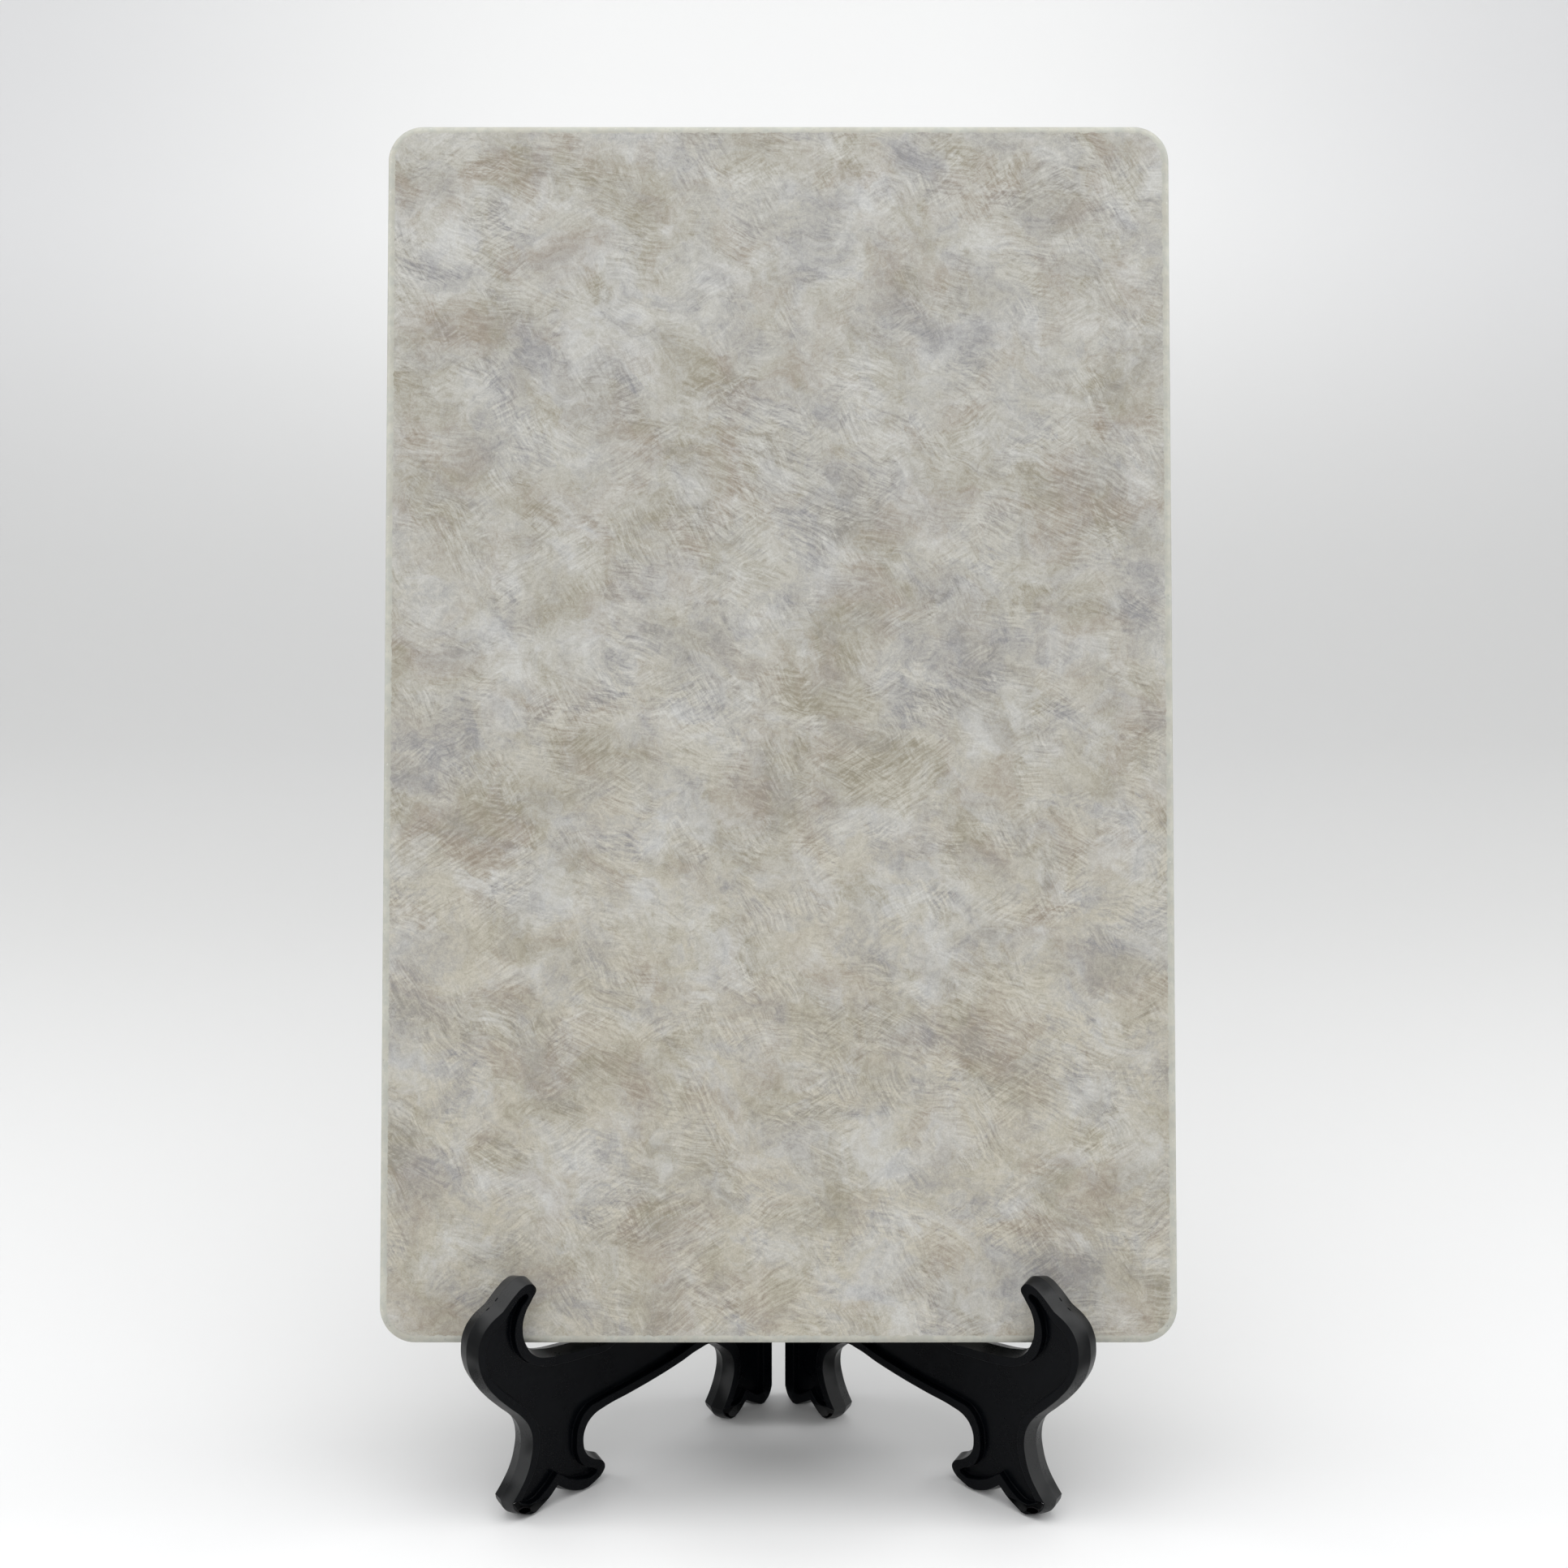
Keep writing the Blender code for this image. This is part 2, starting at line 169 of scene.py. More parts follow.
def outline(points):
    """The closed smooth line through the points, counterclockwise, as an array of (x, y)."""
    curve = bpy.data.curves.new("outline", "CURVE")
    curve.dimensions = "2D"
    curve.fill_mode = "NONE"
    curve.resolution_u = CURVE_STEPS
    spline = curve.splines.new("BEZIER")
    spline.bezier_points.add(len(points) - 1)
    spline.use_cyclic_u = True
    for knot, point in zip(spline.bezier_points, points):
        knot.co = (point[0], point[1], 0.0)
        kind = "VECTOR" if len(point) == 3 else "AUTO"
        knot.handle_left_type = kind
        knot.handle_right_type = kind
    holder = bpy.data.objects.new("outline", curve)
    bpy.context.scene.collection.objects.link(holder)
    graph = bpy.context.evaluated_depsgraph_get()
    mesh = bpy.data.meshes.new_from_object(holder.evaluated_get(graph))
    bpy.data.objects.remove(holder, do_unlink=True)
    loop = np.array([vert.co[:2] for vert in mesh.vertices])
    bpy.data.meshes.remove(mesh)
    loop = loop[np.linalg.norm(loop - np.roll(loop, 1, 0), axis=1) > 0.02]
    before, after = loop - np.roll(loop, 1, 0), np.roll(loop, -1, 0) - loop
    turn = before[:, 0] * after[:, 1] - before[:, 1] * after[:, 0]
    turn /= np.linalg.norm(before, axis=1) * np.linalg.norm(after, axis=1)
    loop = loop[np.abs(turn) > 1e-4]
    x, y = loop.T
    area = (x * np.roll(y, -1) - np.roll(x, -1) * y).sum()
    return loop if area > 0 else loop[::-1]


def grown(loop, distance, window=70):
    """The loop moved outwards by the distance, with the small loops this makes at corners closed."""
    along = np.roll(loop, -1, 0) - loop
    along /= np.linalg.norm(along, axis=1)[:, None]
    normal = np.stack([along[:, 1], -along[:, 0]], 1)
    before = np.roll(normal, 1, 0)
    share = 1 + (normal * before).sum(1)
    moved = loop + distance * (normal + before) / np.maximum(share, 0.35)[:, None]
    count = len(moved)
    start = 0
    while start < count:
        a, b = moved[start], moved[(start + 1) % count]
        later = (start + np.arange(2, window)) % count
        c, d = moved[later], moved[(later + 1) % count]
        r, s = b - a, d - c
        cross = r[0] * s[:, 1] - r[1] * s[:, 0]
        cross = np.where(np.abs(cross) < 1e-12, 1e-12, cross)
        gap = c - a
        t = (gap[:, 0] * s[:, 1] - gap[:, 1] * s[:, 0]) / cross
        u = (gap[:, 0] * r[1] - gap[:, 1] * r[0]) / cross
        hits = np.flatnonzero((t > 0) & (t < 1) & (u > 0) & (u < 1))
        if len(hits):
            last = hits[-1]
            meeting = a + r * t[last]
            for step in range(1, last + 3):
                moved[(start + step) % count] = meeting
            start += last + 2
        else:
            start += 1
    return moved


def add_ring(shape, loop, height):
    return [shape.verts.new((x, y, height)) for x, y in loop]


def join_rings(shape, first, second):
    count = len(first)
    for i in range(count):
        j = (i + 1) % count
        shape.faces.new((first[i], first[j], second[j], second[i]))


def ring_edges(shape, ring):
    return [
        shape.edges.get((ring[i], ring[(i + 1) % len(ring)])) for i in range(len(ring))
    ]


def tidy(shape, distance=0.004):
    bmesh.ops.remove_doubles(shape, verts=shape.verts[:], dist=distance)
    bmesh.ops.dissolve_degenerate(shape, edges=shape.edges[:], dist=distance)


def arm_solid(name):
    """An arm lying in its drawing plane, in millimetres, both faces with their sunk panels."""
    rim, panel = outline(ARM_OUTLINE), outline(PANEL_OUTLINE)
    shape = bmesh.new()
    rings = [add_ring(shape, grown(rim, -inset), height) for inset, height in EDGE_RINGS]
    for first, second in zip(rings, rings[1:]):
        join_rings(shape, first, second)
    walls = [add_ring(shape, grown(panel, growth), height) for growth, height in PANEL_RINGS]
    for first, second in zip(walls, walls[1:]):
        join_rings(shape, first, second)
    top = [rings[-1], walls[0]]
    for group in (top, [walls[-1]]):
        edges = [edge for ring in group for edge in ring_edges(shape, ring)]
        bmesh.ops.triangle_fill(shape, use_beauty=True, edges=edges, normal=(0, 0, 1))
    tidy(shape)
    other = shape.copy()
    bmesh.ops.transform(other, matrix=Matrix.Diagonal((1, 1, -1, 1)), verts=other.verts[:])
    bmesh.ops.reverse_faces(other, faces=other.faces[:])
    mesh = bpy.data.meshes.new(name)
    other.to_mesh(mesh)
    shape.from_mesh(mesh)
    other.free()
    low = [vert for vert in shape.verts if abs(vert.co.z) < 1e-6]
    bmesh.ops.remove_doubles(shape, verts=low, dist=0.002)
    bmesh.ops.recalc_face_normals(shape, faces=shape.faces[:])
    shape.to_mesh(mesh)
    shape.free()
    return mesh


def turned(name, profile, sides=56):
    """A closed solid turned about the Z axis from (radius, height) points, in millimetres."""
    shape = bmesh.new()
    angles = np.linspace(0, 2 * math.pi, sides, endpoint=False)
    rings = [
        add_ring(shape, np.stack([np.cos(angles), np.sin(angles)], 1) * radius, height)
        for radius, height in profile
    ]
    for first, second in zip(rings, rings[1:]):
        join_rings(shape, first, second)
    shape.faces.new(rings[0][::-1])
    shape.faces.new(rings[-1])
    bmesh.ops.recalc_face_normals(shape, faces=shape.faces[:])
    mesh = bpy.data.meshes.new(name)
    shape.to_mesh(mesh)
    shape.free()
    return bpy.data.objects.new(name, mesh)


def rod(name, radius, bottom, length, ease=0.0, sides=56):
    if not ease:
        return turned(name, ((radius, bottom), (radius, bottom + length)), sides)
    top = bottom + length
    return turned(
        name,
        (
            (radius - ease, bottom), (radius - 0.3 * ease, bottom + 0.3 * ease),
            (radius, bottom + ease), (radius, top - ease),
            (radius - 0.3 * ease, top - 0.3 * ease), (radius - ease, top),
        ),
        sides,
    )


def block(name, low, high, turn, ease=0.0):
    """A box between two corners with eased edges, turned about the Z axis, in millimetres."""
    shape = bmesh.new()
    bmesh.ops.create_cube(shape, size=1.0)
    size, middle = Vector(high) - Vector(low), (Vector(high) + Vector(low)) / 2
    place = Matrix.Translation(middle) @ Matrix.Diagonal((*size, 1.0))
    bmesh.ops.transform(shape, matrix=place, verts=shape.verts[:])
    if ease:
        bmesh.ops.bevel(
            shape, geom=shape.edges[:], offset=ease, segments=3, profile=0.5, affect="EDGES"
        )
    bmesh.ops.transform(shape, matrix=Matrix.Rotation(turn, 4, "Z"), verts=shape.verts[:])
    mesh = bpy.data.meshes.new(name)
    shape.to_mesh(mesh)
    shape.free()
    return bpy.data.objects.new(name, mesh)


def combine(obj, other, operation):
    """Adds or cuts the other solid with an exact Boolean, leaves the result in obj's mesh."""
    HELPERS.objects.link(other)
    other.hide_render = True
    modifier = obj.modifiers.new(other.name, "BOOLEAN")
    modifier.operation = operation
    modifier.object = other
    modifier.solver = "EXACT"
    apply_modifiers(obj)
    bpy.data.objects.remove(other, do_unlink=True)


def apply_modifiers(obj):
    graph = bpy.context.evaluated_depsgraph_get()
    mesh = bpy.data.meshes.new_from_object(obj.evaluated_get(graph))
    obj.modifiers.clear()
    obj.data = mesh


def finish_shading(obj, angle):
    """Smooth shading, with an edge kept sharp where its faces meet at more than the angle."""
    shape = bmesh.new()
    shape.from_mesh(obj.data)
    for face in shape.faces:
        face.smooth = True
    for edge in shape.edges:
        edge.smooth = len(edge.link_faces) == 2 and edge.calc_face_angle() < math.radians(angle)
    shape.to_mesh(obj.data)
    shape.free()
    weighted = obj.modifiers.new("Weighted", "WEIGHTED_NORMAL")
    weighted.keep_sharp = True
    weighted.weight = 80


def mark_outer_wall(mesh, outward, normal, shift):
    """Marks the faces along an arm's outline, where the plastic gets a lighter colour: a painted
    reflection standing in for their sheen.
    """
    rim = outline(ARM_OUTLINE)
    marks = mesh.attributes.new("outer_wall", "FLOAT", "FACE")
    flat = normal.to_3d()
    for face in mesh.polygons:
        if abs(face.normal.dot(flat)) > 0.75:
            continue
        spot = Vector(face.center)
        height = abs((spot - shift).dot(flat))
        gaps = np.hypot(rim[:, 0] - spot.dot(outward), rim[:, 1] - spot.z)
        marks.data[face.index].value = float(gaps.min() < 0.45 + 0.3 * height)


def make_arm(name, side, own_knuckles, other_knuckles):
    """side is -1 for the left arm and 1 for the right."""
    arm = bpy.data.objects.new(name, arm_solid(name))
    PIECES.objects.link(arm)
    outward = Vector((side * math.sin(HALF_OPENING), -math.cos(HALF_OPENING), 0.0))
    normal = Vector((side * math.cos(HALF_OPENING), math.sin(HALF_OPENING), 0.0))
    shift = normal * (FACE_GAP + HALF_ARM)
    place = Matrix(
        (
            (outward.x, 0.0, normal.x, shift.x),
            (outward.y, 0.0, normal.y, shift.y),
            (0.0, 1.0, 0.0, 0.0),
            (0.0, 0.0, 0.0, 1.0),
        )
    )
    arm.data.transform(place)
    if place.determinant() < 0:
        arm.data.flip_normals()
    turn = -math.pi / 2 + side * HALF_OPENING
    combine(arm, block("ground", *GROUND_BLOCK, turn), "DIFFERENCE")
    for bottom in other_knuckles:
        room = rod(
            "room",
            BARREL_RADIUS + BARREL_CLEARANCE,
            bottom - END_CLEARANCE,
            KNUCKLE_LENGTH + 2 * END_CLEARANCE,
            sides=72,
        )
        combine(arm, room, "DIFFERENCE")
    for bottom in own_knuckles:
        combine(arm, rod("barrel", BARREL_RADIUS, bottom, KNUCKLE_LENGTH, ease=BARREL_EASE), "UNION")
        low, high = sorted(side * across for across in WEB_ACROSS)
        web = block(
            "web",
            (WEB_ALONG[0], low, bottom + WEB_INSET),
            (WEB_ALONG[1], high, bottom + KNUCKLE_LENGTH - WEB_INSET),
            turn,
        )
        combine(arm, web, "UNION")
    for label, near, far, front, back, inset, ease in LUG_BLOCKS:
        low, high = sorted((side * near, side * far))
        lug = block(
            label,
            (low, front, LUG_BOTTOM + inset),
            (high, back, LUG_BOTTOM + LUG_HEIGHT - inset),
            0.0,
            ease,
        )
        combine(arm, lug, "UNION")
    combine(arm, rod("bore", BORE_RADIUS, *BORE_SPAN), "DIFFERENCE")
    mark_outer_wall(arm.data, outward, normal, shift)
    arm.data.transform(Matrix.Diagonal((MM, MM, MM, 1.0)))
    finish_shading(arm, SHARP_ARM)
    arm.location = AXIS
    return arm


def rounded_rectangle(inset, steps=20):
    """Outline of the slab inset by a distance, counterclockwise seen from the front, from (x, z)."""
    radius = SLAB_CORNER_RADIUS - inset
    half = SLAB_WIDTH / 2 - SLAB_CORNER_RADIUS
    points = []
    for x, z, start in (
        (half, SLAB_HEIGHT - SLAB_CORNER_RADIUS, 0),
        (-half, SLAB_HEIGHT - SLAB_CORNER_RADIUS, 90),
        (-half, SLAB_CORNER_RADIUS, 180),
        (half, SLAB_CORNER_RADIUS, 270),
    ):
        for step in range(steps + 1):
            angle = math.radians(start + 90 * step / steps)
            points.append((x + radius * math.cos(angle), z + radius * math.sin(angle)))
    return points


def make_slab(name):
    """The slab in its own frame, origin at the middle of its lower front edge: y runs to the back."""
    shape = bmesh.new()
    steps = 8
    profile = []
    for step in range(steps + 1):
        angle = math.pi / 2 * step / steps
        inset = SLAB_EDGE_RADIUS * (1 - math.sin(angle))
        profile.append((inset, SLAB_EDGE_RADIUS * (1 - math.cos(angle))))
    profile += [(inset, SLAB_THICKNESS - depth) for inset, depth in reversed(profile)]
    rings = [
        [shape.verts.new((x * MM, depth * MM, z * MM)) for x, z in rounded_rectangle(inset)]
        for inset, depth in profile
    ]
    for first, second in zip(rings, rings[1:]):
        join_rings(shape, first, second)
    shape.faces.new(rings[0])
    shape.faces.new(rings[-1][::-1])
    bmesh.ops.recalc_face_normals(shape, faces=shape.faces[:])
    mesh = bpy.data.meshes.new(name)
    shape.to_mesh(mesh)
    shape.free()
    slab = bpy.data.objects.new(name, mesh)
    PIECES.objects.link(slab)
    finish_shading(slab, SHARP_SLAB)
    slab.rotation_euler = (-SLAB_LEAN, 0.0, 0.0)
    slab.location = SLAB_LIP
    return slab


# ------------------------------------------------------------------------------ material helpers

def linear(red, green, blue):
    """A colour given as it shows on screen, 0 to 255, as linear light."""
    def one(value):
        value /= 255
        return value / 12.92 if value <= 0.04045 else ((value + 0.055) / 1.055) ** 2.4
    return (one(red), one(green), one(blue), 1.0)


def tone(name):
    return linear(*STONE_TONES[name])


class Nodes:
    """Short names for building one material's node tree."""

    def __init__(self, name):
        self.material = bpy.data.materials.new(name)
        self.material.use_nodes = True
        self.tree = self.material.node_tree
        self.shader = self.tree.nodes["Principled BSDF"]
        self.object_place = self.add("TexCoord").outputs["Object"]

    def add(self, kind, inputs=None, **settings):
        node = self.tree.nodes.new("ShaderNode" + kind)
        for key, value in settings.items():
            setattr(node, key, value)
        for key, value in (inputs or {}).items():
            self.put(node.inputs[key], value)
        return node

    def put(self, socket, value):
        if isinstance(value, bpy.types.NodeSocket):
            self.tree.links.new(value, socket)
        else:
            socket.default_value = value

    def math(self, operation, first, second=0.0, third=0.0):
        return self.add("Math", {0: first, 1: second, 2: third}, operation=operation).outputs[0]

    def vector(self, operation, first, second=(0.0, 0.0, 0.0), scale=1.0):
        node = self.add("VectorMath", {0: first}, operation=operation)
        if operation == "SCALE":
            self.put(node.inputs[3], scale)
        elif operation != "LENGTH":
            self.put(node.inputs[1], second)
        return node.outputs["Value" if operation == "LENGTH" else "Vector"]

    def noise(self, place, scale, detail=2.0, rough=0.5, distort=0.0, colour=False, flat=True):
        node = self.add(
            "TexNoise",
            {"Vector": place, "Scale": scale, "Detail": detail, "Roughness": rough,
             "Distortion": distort},
            noise_dimensions="2D" if flat else "3D",
        )
        return node.outputs["Color" if colour else "Fac"]

    def ramp(self, value, low, high, start=0.0, end=1.0, smooth=True):
        node = self.add(
            "MapRange",
            {"Value": value, "From Min": low, "From Max": high, "To Min": start, "To Max": end},
            interpolation_type="SMOOTHSTEP" if smooth else "LINEAR",
        )
        return node.outputs["Result"]

    def mix(self, share, first, second, blend="MIX"):
        node = self.add("Mix", data_type="RGBA", blend_type=blend)
        self.put(node.inputs[0], share)
        for socket, value in zip([s for s in node.inputs if s.type == "RGBA"], (first, second)):
            self.put(socket, value)
        return [s for s in node.outputs if s.type == "RGBA"][0]

    def shifted(self, place, scale, amount, detail=3.0):
        """The place moved about by a noise of that scale, by up to about half the amount."""
        wander = self.noise(place, scale, detail, colour=True)
        return self.vector(
            "ADD", place, self.vector("SCALE", self.vector("SUBTRACT", wander, (0.5, 0.5, 0.5)),
                                      scale=amount)
        )

    def patches(self, place, spots):
        """The sum of soft elliptical spots: (x, y, half width, half height, turn, strength)."""
        total = None
        for x, y, wide, high, turn, strength in spots:
            local = self.add(
                "Mapping",
                {"Vector": place, "Location": (x, y, 0), "Scale": (wide, high, 1000.0),
                 "Rotation": (0, 0, math.radians(turn))},
                vector_type="TEXTURE",
            ).outputs["Vector"]
            spot = self.add("TexGradient", {"Vector": local}, gradient_type="SPHERICAL")
            total = self.math("MULTIPLY_ADD", spot.outputs["Fac"], strength, total or 0.0)
        return total


def read_spots(rows):
    """Spots read off an upright view of the face 1040 wide, where the slab is 4.85 to the mm."""
    return [
        ((x - 515) / 4.87, (1532 - y) * 0.2073, wide / 4.85, high / 4.85, turn, strength)
        for x, y, wide, high, turn, strength in rows
    ]


BROWN = read_spots((
    (205, 95, 120, 42, 5, 0.7), (335, 115, 60, 60, 0, 0.8), (245, 200, 55, 42, 0, 0.7),
    (120, 295, 110, 70, 0, 0.9), (85, 470, 85, 100, 0, 0.9), (455, 335, 95, 70, -10, 0.9),
    (420, 450, 150, 60, -22, 0.9), (400, 560, 75, 55, 0, 0.8), (640, 595, 75, 75, 0, 0.7),
    (580, 680, 70, 90, 20, 0.8), (850, 500, 150, 70, -22, 0.9), (930, 370, 75, 75, 0, 0.9),
    (880, 240, 55, 28, 0, 0.7), (560, 850, 190, 100, 22, 0.95), (150, 905, 140, 62, 30, 1.1),
    (800, 935, 105, 60, 0, 0.6), (945, 820, 55, 70, 0, 0.8), (240, 1190, 150, 75, -30, 0.9),
    (345, 1400, 75, 55, 10, 1.3), (50, 1335, 40, 90, 0, 1.2), (530, 1165, 110, 70, 0, 0.7),
    (430, 1290, 80, 80, 0, 0.8), (770, 1185, 160, 62, -25, 0.85), (840, 1335, 55, 42, 0, 0.7),
    (935, 1330, 42, 42, 0, 0.8), (575, 1370, 75, 42, 0, 0.7), (945, 1485, 85, 60, 0, 0.8),
    (55, 690, 70, 75, 0, 0.6), (290, 625, 75, 42, 0, 0.6), (880, 655, 60, 50, 0, 0.6),
    (640, 1000, 90, 40, -15, 0.5), (420, 1470, 60, 40, 0, 0.6),
))
COOL = read_spots((
    (560, 185, 50, 60, 0, 1.0), (200, 330, 80, 85, 0, 0.9), (595, 500, 110, 75, 15, 1.0),
    (705, 290, 100, 75, -15, 1.0), (690, 75, 62, 40, -20, 0.9), (405, 720, 60, 85, 0, 0.8),
    (735, 700, 115, 120, 0, 1.0), (330, 620, 55, 55, 0, 0.6), (90, 815, 120, 60, 0, 0.8),
    (60, 1110, 50, 95, 0, 0.9), (100, 1345, 90, 75, 0, 0.9), (850, 1450, 95, 62, 20, 0.9),
    (960, 640, 55, 90, 0, 0.8), (170, 1480, 90, 42, 0, 0.5), (890, 1060, 90, 75, 0, 0.7),
    (300, 930, 80, 40, 0, 0.5), (870, 140, 120, 60, -20, 0.6), (60, 110, 60, 40, 0, 0.5),
    (640, 1160, 70, 60, 0, 0.5), (560, 400, 50, 60, 0, 0.5), (290, 400, 50, 90, 0, 0.5),
))
PALE = read_spots((
    (310, 290, 100, 130, 0, 1.2), (180, 700, 130, 75, 0, 0.9), (665, 470, 60, 85, 0, 0.9),
    (800, 790, 65, 75, 0, 1.0), (430, 905, 90, 60, 0, 0.9), (650, 985, 130, 75, 0, 0.7),
    (200, 975, 100, 55, 0, 0.8), (610, 1300, 110, 60, 0, 0.8), (240, 1340, 90, 90, 0, 0.9),
    (640, 130, 100, 62, 0, 0.8), (470, 230, 90, 75, 0, 0.9), (745, 1060, 100, 55, 0, 0.8),
    (100, 190, 80, 75, 0, 0.7), (880, 290, 80, 50, 0, 0.6), (430, 1060, 90, 62, 0, 0.7),
    (930, 930, 60, 60, 0, 0.6), (560, 620, 45, 55, 0, 0.7), (700, 1480, 130, 62, 0, 0.8),
    (900, 1240, 70, 55, 0, 0.6), (400, 620, 45, 40, 0, 0.5), (840, 430, 80, 50, 0, 0.5),
))
# Groups of brushed streaks: their direction, and where they show.
STREAKS = (
    (-26, read_spots((
        (150, 180, 150, 85, 0, 1.0), (500, 470, 190, 110, -20, 1.3), (860, 500, 170, 80, -20, 1.0),
        (770, 1170, 210, 100, -20, 1.2), (270, 1190, 120, 80, -20, 0.8), (700, 80, 80, 60, 0, 0.9),
    ))),
    (-8, read_spots((
        (220, 95, 130, 60, 0, 1.0), (280, 780, 110, 50, 0, 1.1), (870, 200, 150, 90, 0, 0.9),
        (520, 60, 150, 40, 0, 0.7), (880, 1500, 110, 50, 0, 0.8), (560, 1240, 90, 60, 0, 0.7),
    ))),
    (33, read_spots((
        (110, 940, 150, 100, 0, 1.3), (340, 1385, 130, 80, 0, 1.0), (640, 850, 110, 90, 0, 0.8),
        (500, 1470, 140, 60, 0, 0.8), (240, 560, 70, 60, 0, 0.7), (950, 980, 80, 80, 0, 0.7),
    ))),
    (-62, read_spots((
        (955, 120, 50, 110, 0, 1.0), (60, 230, 50, 90, 0, 0.9), (400, 540, 80, 70, 0, 0.8),
        (720, 610, 90, 80, 0, 0.7), (60, 1120, 60, 90, 0, 0.7), (480, 1080, 70, 70, 0, 0.5),
    ))),
)


# Tones of the stone as they show on screen, 0 to 255.
STONE_TONES = {
    "cream": (183, 178, 164),
    "light_grey": (179, 177, 169),
    "pale": (199, 199, 196),
    "tan": (145, 139, 122),
    "brown": (146, 136, 122),
    "grey": (138, 137, 138),
    "body": (187, 186, 175),
    "body_dull": (174, 175, 167),
    "body_warm": (166, 161, 148),
    "body_pale": (197, 198, 193),
    "speck_dark": (150, 150, 143),
    "speck_light": (203, 203, 195),
}


def stone_material():
    n = Nodes("patterned_stone")
    place = n.vector("SCALE", n.object_place, scale=1000.0)
    parts = n.add("SeparateXYZ", {0: place}).outputs
    flat = n.add("CombineXYZ", {0: parts[0], 1: parts[2], 2: 0.0}).outputs[0]

    # Distance inside the outline of the face, to keep the pattern off the rim.
    half_x, half_z = SLAB_WIDTH / 2 - SLAB_CORNER_RADIUS, SLAB_HEIGHT / 2 - SLAB_CORNER_RADIUS
    qx = n.math("SUBTRACT", n.math("ABSOLUTE", parts[0]), half_x)
    up = n.math("SUBTRACT", parts[2], SLAB_HEIGHT / 2)
    qz = n.math("SUBTRACT", n.math("ABSOLUTE", up), half_z)
    outer = n.add("CombineXYZ", {0: n.math("MAXIMUM", qx, 0.0), 1: n.math("MAXIMUM", qz, 0.0)})
    edge = n.math("ADD", n.vector("LENGTH", outer.outputs[0]),
                  n.math("MINIMUM", n.math("MAXIMUM", qx, qz), 0.0))
    inside = n.math("SUBTRACT", SLAB_CORNER_RADIUS, edge)
    ragged = n.math("MULTIPLY_ADD", n.noise(flat, 0.5, 4.0), 1.1, n.math("SUBTRACT", inside, 0.55))
    printed = n.math(
        "MULTIPLY", n.ramp(ragged, 1.75, 2.05), n.ramp(parts[1], 0.35, 0.2)
    )

    # The place on the face, pushed about by slow, quick and curling noises.
    slow = n.shifted(flat, 0.045, 16.0, 3.0)
    quick = n.shifted(slow, 0.4, 2.6, 4.0)
    curl = n.shifted(flat, 0.25, 2.4, 3.0)

    # Broad brown, grey and pale areas: soft spots, broken up by noise.
    drawn = n.add("Mapping", {"Vector": quick, "Rotation": (0, 0, math.radians(-24)),
                              "Scale": (1.35, 0.95, 1.0)}, vector_type="TEXTURE").outputs["Vector"]
    mottle = n.noise(drawn, 0.06, 8.0, 0.7)
    mottle_2 = n.noise(n.vector("ADD", drawn, (71.0, 33.0, 0.0)), 0.075, 8.0, 0.72)
    mottle_3 = n.noise(n.vector("ADD", drawn, (-40.0, 91.0, 0.0)), 0.085, 8.0, 0.7)
    brown = n.math("ADD", n.patches(quick, BROWN), n.math("MULTIPLY_ADD", mottle, 4.4, -2.05))
    cool = n.math("ADD", n.patches(quick, COOL), n.math("MULTIPLY_ADD", mottle_2, 4.2, -2.1))
    pale = n.math("ADD", n.patches(quick, PALE), n.math("MULTIPLY_ADD", mottle_3, 4.6, -2.2))
    brown = n.ramp(brown, -0.35, 1.35)
    cool = n.ramp(cool, -0.35, 1.35)
    pale = n.ramp(pale, -0.35, 1.35)

    # Curled fibres, and brushed fibres in groups, each with its own direction and places.
    fibre = n.noise(curl, 0.7, 5.0, 0.74, distort=0.5)
    fibres = n.math("MULTIPLY", n.math("SUBTRACT", fibre, 0.5), 0.7)
    bent = n.shifted(flat, 0.07, 4.0, 2.0)
    for number, (turn, spots) in enumerate(STREAKS):
        local = n.add(
            "Mapping",
            {"Vector": bent, "Location": (7.3 * number, 3.1, 0),
             "Rotation": (0, 0, math.radians(turn)), "Scale": (8.0, 0.72, 1.0)},
            vector_type="TEXTURE",
        ).outputs["Vector"]
        lines = n.math("SUBTRACT", n.noise(local, 1.0, 4.0, 0.64), 0.5)
        region = n.noise(n.vector("ADD", slow, (31.0 * number, 47.0, 0.0)), 0.06, 3.0, 0.6)
        area = n.math("ADD", n.patches(quick, spots), n.math("MULTIPLY_ADD", region, 4.0, -2.0))
        fibres = n.math("MULTIPLY_ADD", lines, n.ramp(area, -0.1, 0.8, 0.0, 1.1), fibres)
    fibres = n.math("MULTIPLY", fibres, n.ramp(pale, 0.1, 1.0, 1.0, 0.4))

    # Curled hairlines: where a wandering noise crosses its middle value.
    line = n.noise(curl, 0.24, 3.0, 0.6, distort=1.2)
    line = n.math("ABSOLUTE", n.math("SUBTRACT", line, 0.5))
    hair = n.math("MULTIPLY", n.ramp(line, 0.0, 0.05, 1.0, 0.0),
                  n.ramp(n.noise(slow, 0.13, 3.0), 0.47, 0.64))

    # Fine grain over everything.
    grain = n.noise(flat, 2.4, 2.0, 0.6)

